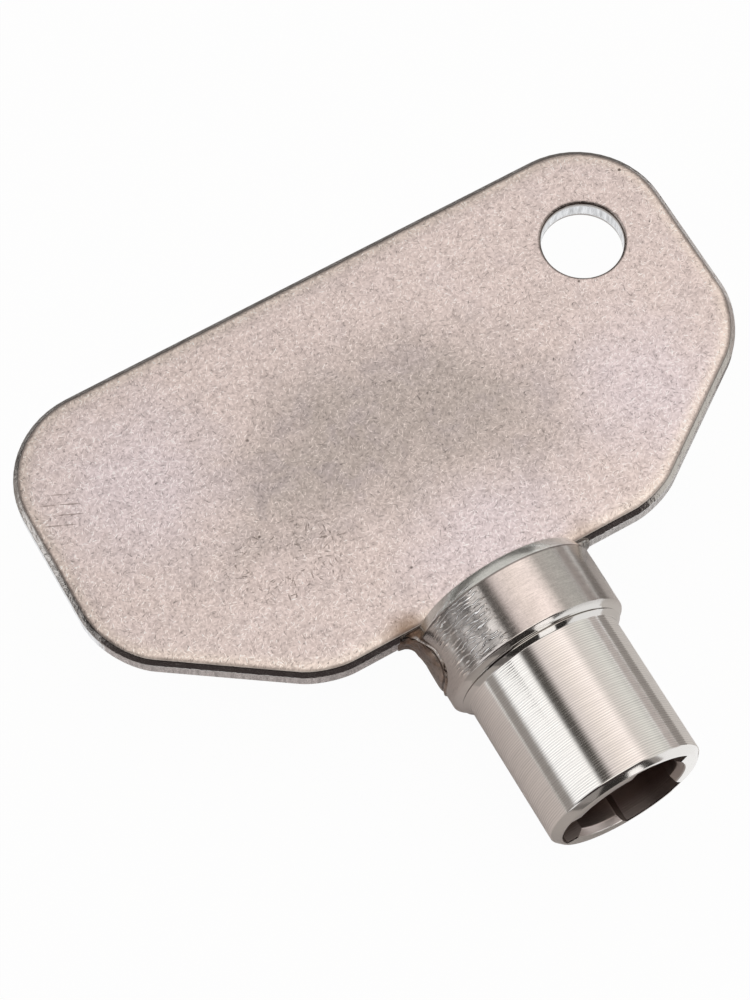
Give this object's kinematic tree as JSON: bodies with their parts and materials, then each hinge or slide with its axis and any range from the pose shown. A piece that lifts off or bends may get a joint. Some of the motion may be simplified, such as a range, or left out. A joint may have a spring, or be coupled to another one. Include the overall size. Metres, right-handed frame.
{
  "type": "radiator bleed key",
  "caption": "Flat plate-bow key with a keyring hole, welded into the slotted collar of a turned barrel whose open end is a fluted socket.",
  "frame": {"origin": "bottom centre of the key's box as it lies flat: under the middle of its length, level with the lowest line of the collar", "axes": "+X across the bow towards the keyring hole, +Y along the barrel from its mouth to the bow, +Z square to the bow plate, up"},
  "size_m": [0.0464, 0.0402, 0.012],
  "materials": {
    "tumbled_steel": "tumbled satin",
    "turned_steel": "fine turned, bright",
    "weld_steel": "smooth, heat tinted"
  },
  "bodies": {
    "root": {"bow_plate": "tumbled_steel", "barrel": "turned_steel", "weld_fillet_left": "weld_steel", "weld_fillet_right": "weld_steel"}
  },
  "joints": []
}
